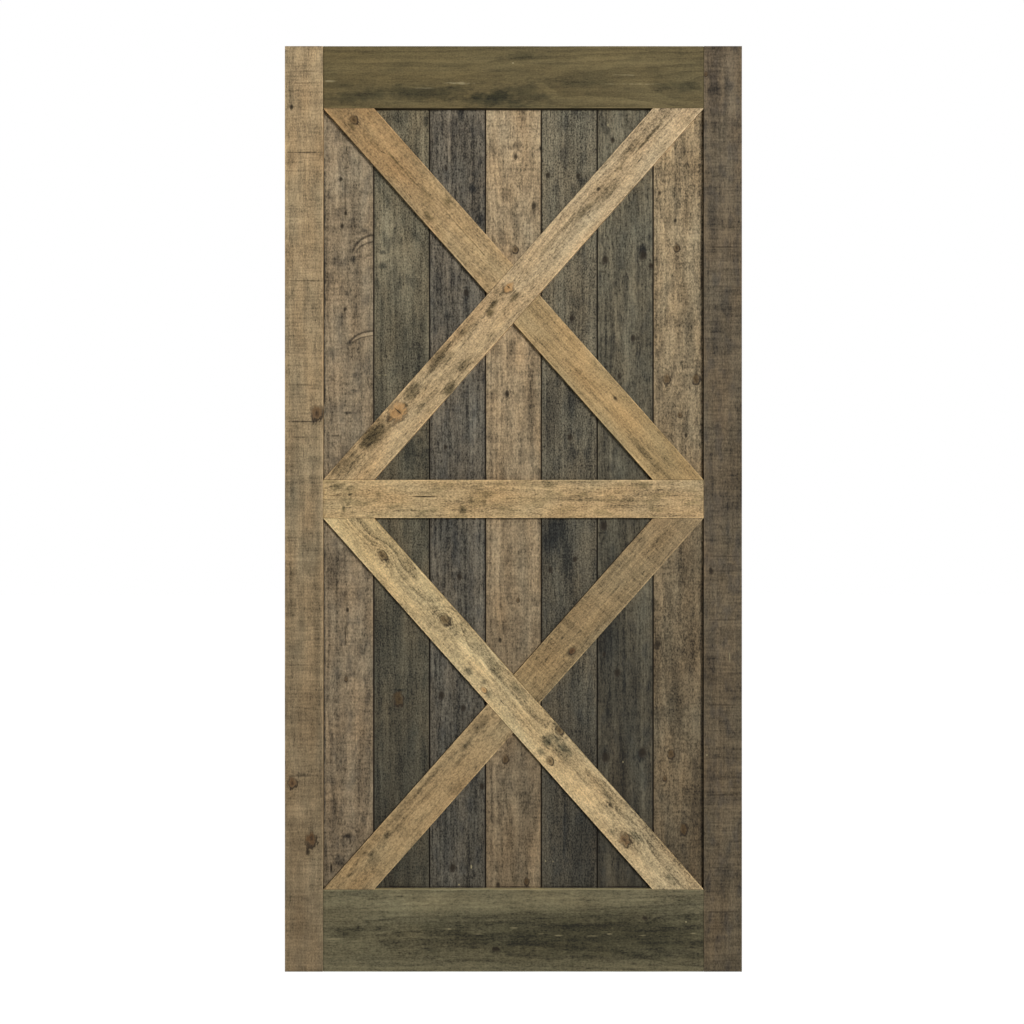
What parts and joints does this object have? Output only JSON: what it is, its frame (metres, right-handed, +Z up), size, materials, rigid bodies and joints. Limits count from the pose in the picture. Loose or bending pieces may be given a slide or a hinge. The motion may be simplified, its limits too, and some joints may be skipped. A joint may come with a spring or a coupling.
{
  "type": "sliding barn door leaf",
  "caption": "Weathered plank door leaf with a flush frame and a double X of braces, nailed from the back, hung from its top edge to slide along a wall.",
  "frame": {"origin": "middle of the leaf's bottom, at half its thickness", "axes": "+Z up, +X to the right seen from the front, -Y out of the front face"},
  "size_m": [1.054, 0.038, 2.1336],
  "materials": {
    "warm_tan_wood": "weathered, rough-sawn, dry matt stain",
    "dark_brown_wood": "weathered, rough-sawn, dry matt stain",
    "olive_wood": "weathered, rough-sawn, dry matt stain",
    "straw_wood": "weathered, rough-sawn, dry matt stain",
    "beige_wood": "weathered, rough-sawn, dry matt stain",
    "brown_wood": "weathered, rough-sawn, dry matt stain",
    "grey_wood": "weathered, rough-sawn, dry matt stain",
    "slate_wood": "weathered, rough-sawn, dry matt stain",
    "dark_iron": "dull dark oxide"
  },
  "bodies": {
    "root": {"left_stile": "warm_tan_wood", "plank_5": "warm_tan_wood", "plank_8": "warm_tan_wood", "right_stile": "dark_brown_wood", "plank_9": "dark_brown_wood", "top_rail": "olive_wood", "bottom_rail": "olive_wood", "middle_rail": "straw_wood", "lower_brace_full": "straw_wood", "upper_brace_full": "beige_wood", "upper_brace_half_left": "beige_wood", "upper_brace_half_right": "beige_wood", "lower_brace_half_left": "brown_wood", "lower_brace_half_right": "brown_wood", "plank_1": "grey_wood", "plank_2": "grey_wood", "plank_3": "grey_wood", "plank_4": "slate_wood", "plank_6": "slate_wood", "plank_7": "slate_wood", "back_nails": "dark_iron"}
  },
  "joints": []
}
